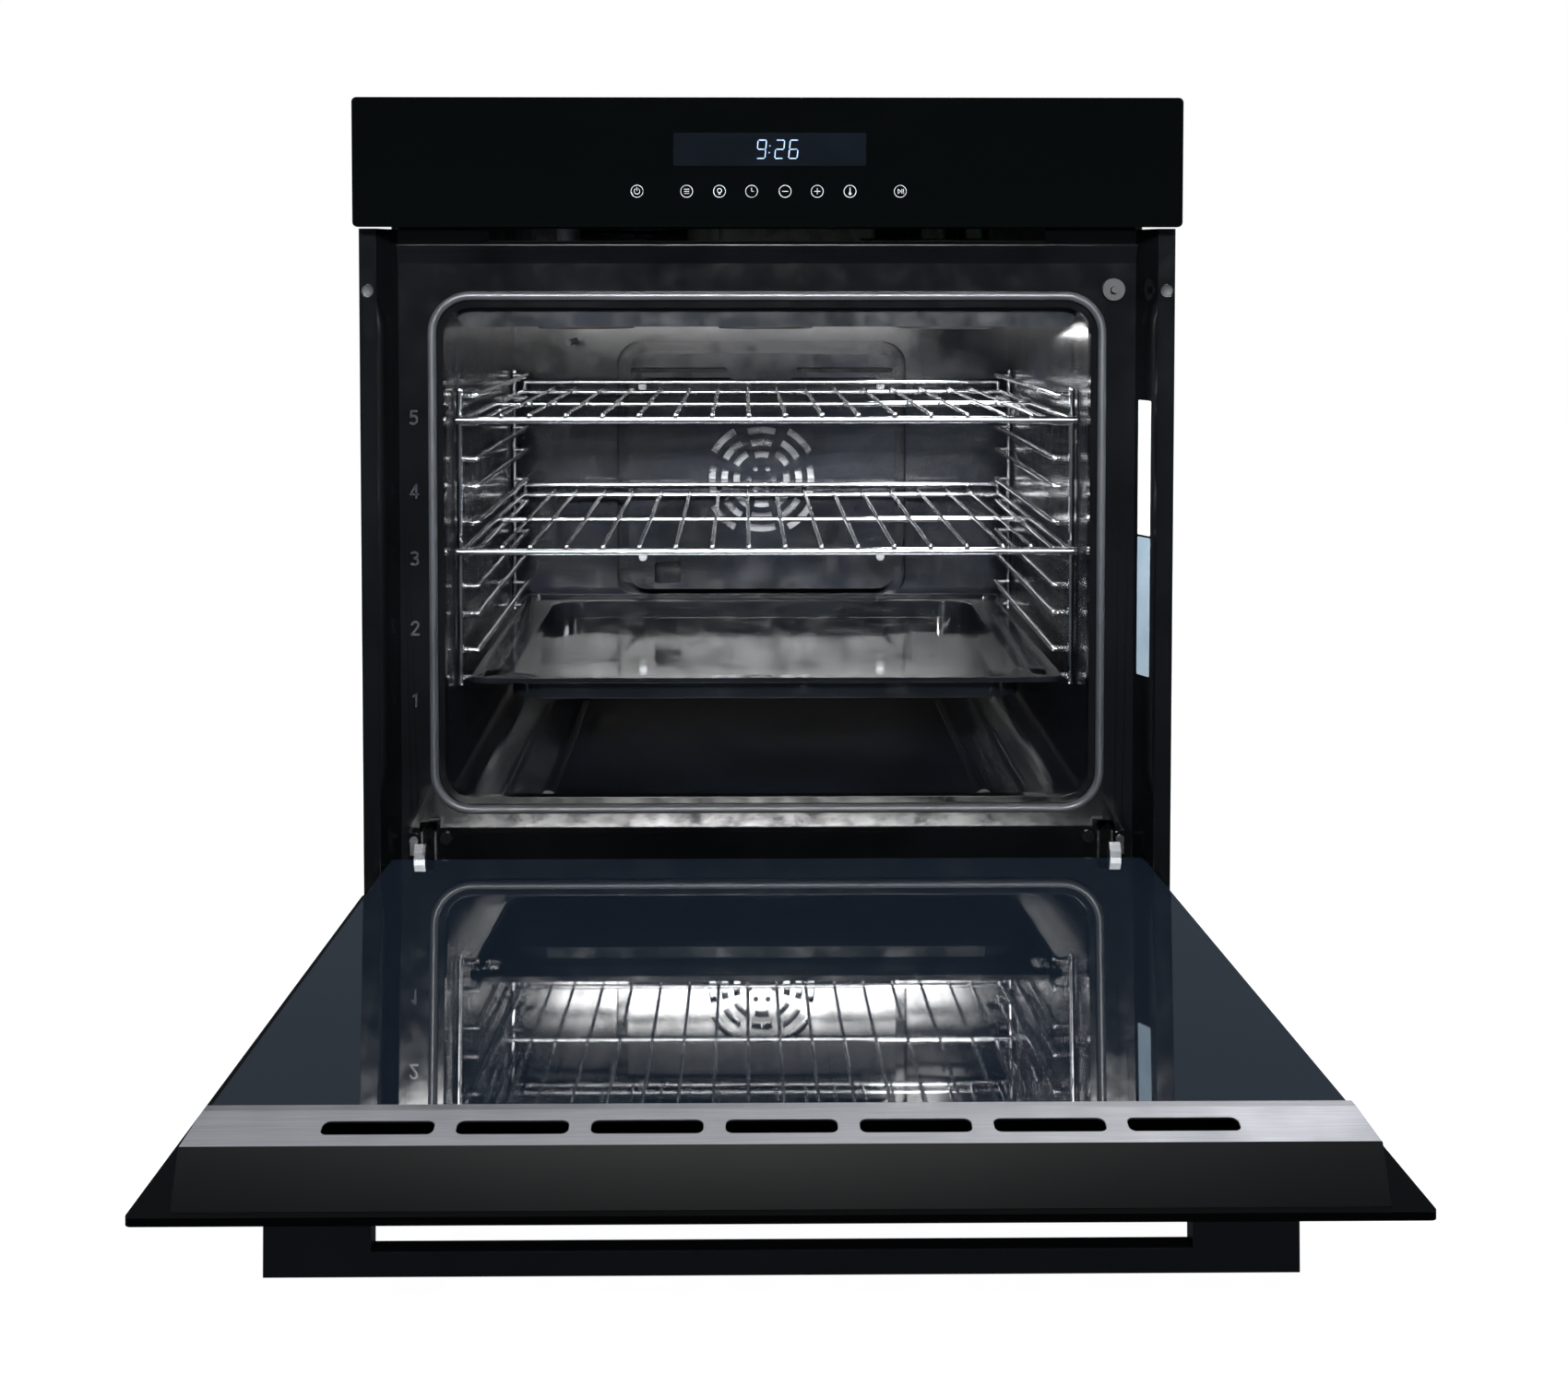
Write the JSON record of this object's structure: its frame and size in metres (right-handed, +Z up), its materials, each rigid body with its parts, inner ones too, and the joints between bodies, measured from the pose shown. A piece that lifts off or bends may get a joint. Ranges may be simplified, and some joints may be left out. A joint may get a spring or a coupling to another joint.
{
  "type": "wall oven",
  "caption": "Built-in electric wall oven with a drop-down glass door shown open, wire shelves, a tray and a black glass touch panel.",
  "frame": {"origin": "on the underside, at the middle of the width, in the plane of the furniture front that the side strips rest on", "axes": "+Z up, +Y into the furniture, the door opens towards -Y"},
  "size_m": [0.595, 1.0492, 0.595],
  "materials": {
    "zinc_sheet": "satin",
    "black_enamel": "gloss",
    "cavity_enamel": "gloss",
    "chrome_wire": "gloss",
    "seal_rubber": "satin",
    "heater_tube": "matt",
    "plain_steel": "satin",
    "clear_glass": "gloss",
    "black_glass": "gloss",
    "tinted_glass": "gloss",
    "mineral_wool": "matt",
    "dark_plastic": "matt",
    "display": "gloss",
    "circuit_board": "satin",
    "white_plastic": "matt",
    "grey_plastic": "satin",
    "satin_aluminium": "satin",
    "dark_profile": "satin"
  },
  "bodies": {
    "cabinet": {"base_pan": "zinc_sheet", "side_panel_left": "zinc_sheet", "side_panel_right": "zinc_sheet", "top_cover": "zinc_sheet", "rear_cover": "zinc_sheet", "front_frame": "black_enamel", "cavity_liner": "cavity_enamel", "roof_liner": "cavity_enamel", "fan_cover": "cavity_enamel", "fan_cover_screws": "plain_steel", "rack_left": "chrome_wire", "rack_right": "chrome_wire", "rack_fixings": "chrome_wire", "door_seal": "seal_rubber", "grill_element": "heater_tube", "bottom_element": "heater_tube", "ring_element": "heater_tube", "lamp_socket": "plain_steel", "lamp_bulb": "clear_glass", "lamp_glass": "clear_glass", "temperature_probe": "heater_tube", "insulation": "mineral_wool", "fan_motor": "plain_steel", "air_duct": "zinc_sheet", "blower_housing": "zinc_sheet", "blower_motor": "plain_steel", "panel_carrier": "dark_plastic", "panel_glass": "black_glass", "display_module": "display", "touch_board": "circuit_board", "power_board": "circuit_board", "thermal_cutout": "white_plastic", "terminal_block": "white_plastic", "cable_gland": "dark_plastic", "switch_collar": "grey_plastic", "switch_body": "white_plastic", "hinge_housing_left": "plain_steel", "hinge_housing_right": "plain_steel", "hinge_springs": "plain_steel", "fascia_screws": "plain_steel"},
    "door": {"door_glass": "black_glass", "door_inner_glass": "tinted_glass", "door_middle_glass": "clear_glass", "door_side_left": "dark_profile", "door_side_right": "dark_profile", "door_top_profile": "dark_profile", "slotted_trim": "satin_aluminium", "door_bottom_profile": "dark_plastic", "handle_bar": "dark_profile", "handle_screws": "plain_steel", "hinge_arm_left": "plain_steel", "hinge_arm_right": "plain_steel"},
    "lock_left": {"lock_lever_left": "plain_steel"},
    "lock_right": {"lock_lever_right": "plain_steel"},
    "hot_air_fan": {"convection_fan": "plain_steel"},
    "cooling_wheel": {"blower_wheel": "plain_steel"},
    "plunger": {"switch_plunger": "grey_plastic"},
    "upper_shelf": {"shelf_upper": "chrome_wire"},
    "lower_shelf": {"shelf_lower": "chrome_wire"},
    "baking_tray": {"tray": "cavity_enamel"}
  },
  "joints": [
    {"name": "door_hinge", "type": "hinge", "parent": "cabinet", "child": "door", "pos_m": [0, -0.0125, 0.0175], "axis": [-1, 0, 0], "range_deg": [0, 87]},
    {"name": "lock_lever_left_turn", "type": "hinge", "parent": "cabinet", "child": "lock_left", "pos_m": [-0.2636, 0.016, 0.047], "axis": [0, 1, 0], "range_deg": [0, 80]},
    {"name": "lock_lever_right_turn", "type": "hinge", "parent": "cabinet", "child": "lock_right", "pos_m": [0.2636, 0.016, 0.047], "axis": [0, -1, 0], "range_deg": [0, 80]},
    {"name": "hot_air_fan_spin", "type": "hinge", "parent": "cabinet", "child": "hot_air_fan", "pos_m": [0, 0.452, 0.2705], "axis": [0, 1, 0], "continuous": true},
    {"name": "cooling_wheel_spin", "type": "hinge", "parent": "cabinet", "child": "cooling_wheel", "pos_m": [-0.12, 0.415, 0.53], "axis": [0, 0, 1], "continuous": true},
    {"name": "plunger_slide", "type": "slide", "parent": "cabinet", "child": "plunger", "axis": [0, 1, 0], "range_m": [0, 0.0045]},
    {"name": "upper_shelf_slide", "type": "slide", "parent": "cabinet", "child": "upper_shelf", "axis": [0, 1, 0], "range_m": [-0.3, 0]},
    {"name": "lower_shelf_slide", "type": "slide", "parent": "cabinet", "child": "lower_shelf", "axis": [0, 1, 0], "range_m": [-0.3, 0]},
    {"name": "tray_slide", "type": "slide", "parent": "cabinet", "child": "baking_tray", "axis": [0, 1, 0], "range_m": [-0.3, 0]}
  ],
  "couplings": [
    {"joint": "plunger_slide", "follows": "door_hinge", "m_per_rad": 0.00295}
  ]
}
